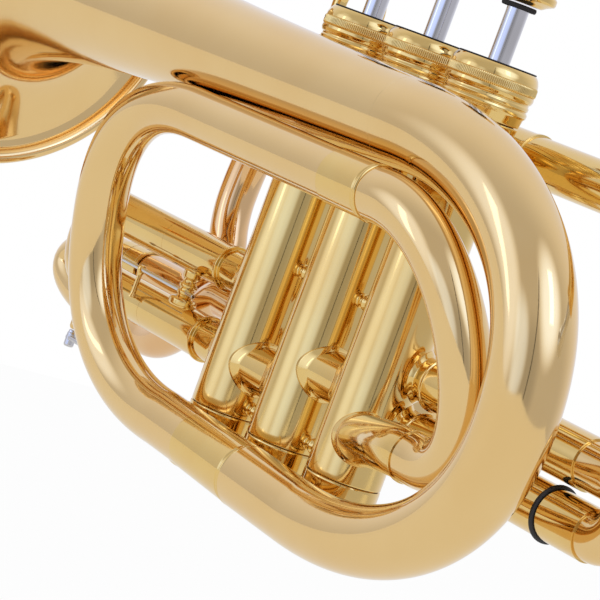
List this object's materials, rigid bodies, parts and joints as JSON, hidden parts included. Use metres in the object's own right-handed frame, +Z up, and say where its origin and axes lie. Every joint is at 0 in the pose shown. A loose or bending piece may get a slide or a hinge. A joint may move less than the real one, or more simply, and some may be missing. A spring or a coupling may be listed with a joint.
{
  "type": "pocket trumpet",
  "caption": "Compact brass trumpet with a coiled bell bow, upright piston valves, drawn tuning slides, a water key and a removable mouthpiece.",
  "frame": {"origin": "second valve's axis, halfway up the valve block, where the left hand grips the casings", "axes": "+Z up along the valves, +X to the rear towards the mouthpiece, +Y to the player's right; the bell faces -X on the left side"},
  "size_m": [0.3398, 0.1388, 0.1611],
  "materials": {
    "yellow_brass": "polished, lacquered",
    "gold_brass": "polished rose-gold brass, lacquered",
    "silver": "bright nickel or silver plate",
    "pearl": "pearl inlay",
    "felt": "black felt",
    "rubber": "black rubber"
  },
  "bodies": {
    "horn": {"valve_casing_1": "yellow_brass", "top_cap_1": "yellow_brass", "bottom_cap_1": "yellow_brass", "valve_casing_2": "yellow_brass", "top_cap_2": "yellow_brass", "bottom_cap_2": "yellow_brass", "valve_casing_3": "yellow_brass", "top_cap_3": "yellow_brass", "bottom_cap_3": "yellow_brass", "knuckle_1_2": "yellow_brass", "casing_brace_upper_1_2": "yellow_brass", "casing_brace_lower_1_2": "yellow_brass", "knuckle_2_3": "yellow_brass", "casing_brace_upper_2_3": "yellow_brass", "casing_brace_lower_2_3": "yellow_brass", "first_sleeve_upper": "yellow_brass", "first_sleeve_lower": "yellow_brass", "second_sleeve_upper": "yellow_brass", "second_sleeve_lower": "yellow_brass", "third_sleeve_upper": "yellow_brass", "third_sleeve_lower": "yellow_brass", "stop_bracket": "yellow_brass", "stop_rod": "silver", "elbow": "yellow_brass", "inner_rear_bow": "gold_brass", "front_bow": "gold_brass", "bell_bow": "gold_brass", "top_ferrule": "yellow_brass", "bottom_ferrule": "yellow_brass", "bell": "gold_brass", "leadpipe": "yellow_brass", "receiver": "yellow_brass", "pinky_hook": "yellow_brass", "leadpipe_bow": "yellow_brass", "tuning_sleeve_upper": "yellow_brass", "tuning_sleeve_lower": "yellow_brass", "inlet_tube": "yellow_brass", "bell_brace_1": "yellow_brass", "pipe_brace_1": "yellow_brass", "bell_brace_3": "yellow_brass", "pipe_brace_3": "yellow_brass"},
    "valve_1": {"piston_1": "silver", "finger_button_1": "yellow_brass", "button_pearl_1": "pearl", "button_felt_1": "felt"},
    "valve_2": {"piston_2": "silver", "finger_button_2": "yellow_brass", "button_pearl_2": "pearl", "button_felt_2": "felt"},
    "valve_3": {"piston_3": "silver", "finger_button_3": "yellow_brass", "button_pearl_3": "pearl", "button_felt_3": "felt"},
    "first_slide_body": {"first_slide": "gold_brass", "first_bumper": "rubber"},
    "second_slide_body": {"second_slide": "gold_brass"},
    "third_slide_body": {"third_slide": "gold_brass"},
    "tuning_slide_body": {"tuning_slide": "gold_brass"},
    "water_key_body": {"water_key": "silver"},
    "mouthpiece_body": {"mouthpiece": "silver"}
  },
  "joints": [
    {"name": "valve_1_press", "type": "slide", "parent": "horn", "child": "valve_1", "axis": [0, 0, -1], "range_m": [0, 0.0125], "stiffness_N_per_m": 180, "springref_m": -0.018},
    {"name": "valve_2_press", "type": "slide", "parent": "horn", "child": "valve_2", "axis": [0, 0, -1], "range_m": [0, 0.0125], "stiffness_N_per_m": 180, "springref_m": -0.018},
    {"name": "valve_3_press", "type": "slide", "parent": "horn", "child": "valve_3", "axis": [0, 0, -1], "range_m": [0, 0.0125], "stiffness_N_per_m": 180, "springref_m": -0.018},
    {"name": "first_slide_pull", "type": "slide", "parent": "horn", "child": "first_slide_body", "axis": [1, 0, 0], "range_m": [0, 0.02]},
    {"name": "second_slide_pull", "type": "slide", "parent": "horn", "child": "second_slide_body", "axis": [0, 1, 0], "range_m": [0, 0.006]},
    {"name": "third_slide_pull", "type": "slide", "parent": "horn", "child": "third_slide_body", "axis": [-1, 0, 0], "range_m": [0, 0.01]},
    {"name": "tuning_slide_pull", "type": "slide", "parent": "horn", "child": "tuning_slide_body", "axis": [-1, 0, 0], "range_m": [0, 0.006]},
    {"name": "water_key_press", "type": "hinge", "parent": "tuning_slide_body", "child": "water_key_body", "pos_m": [-0.1235, 0.0185, -0.0542], "axis": [0, -1, 0], "range_deg": [0, 10], "stiffness_Nm_per_rad": 0.06, "springref_deg": -14.32},
    {"name": "mouthpiece_pull", "type": "slide", "parent": "horn", "child": "mouthpiece_body", "axis": [1, 0, 0], "range_m": [0, 0.03]}
  ]
}
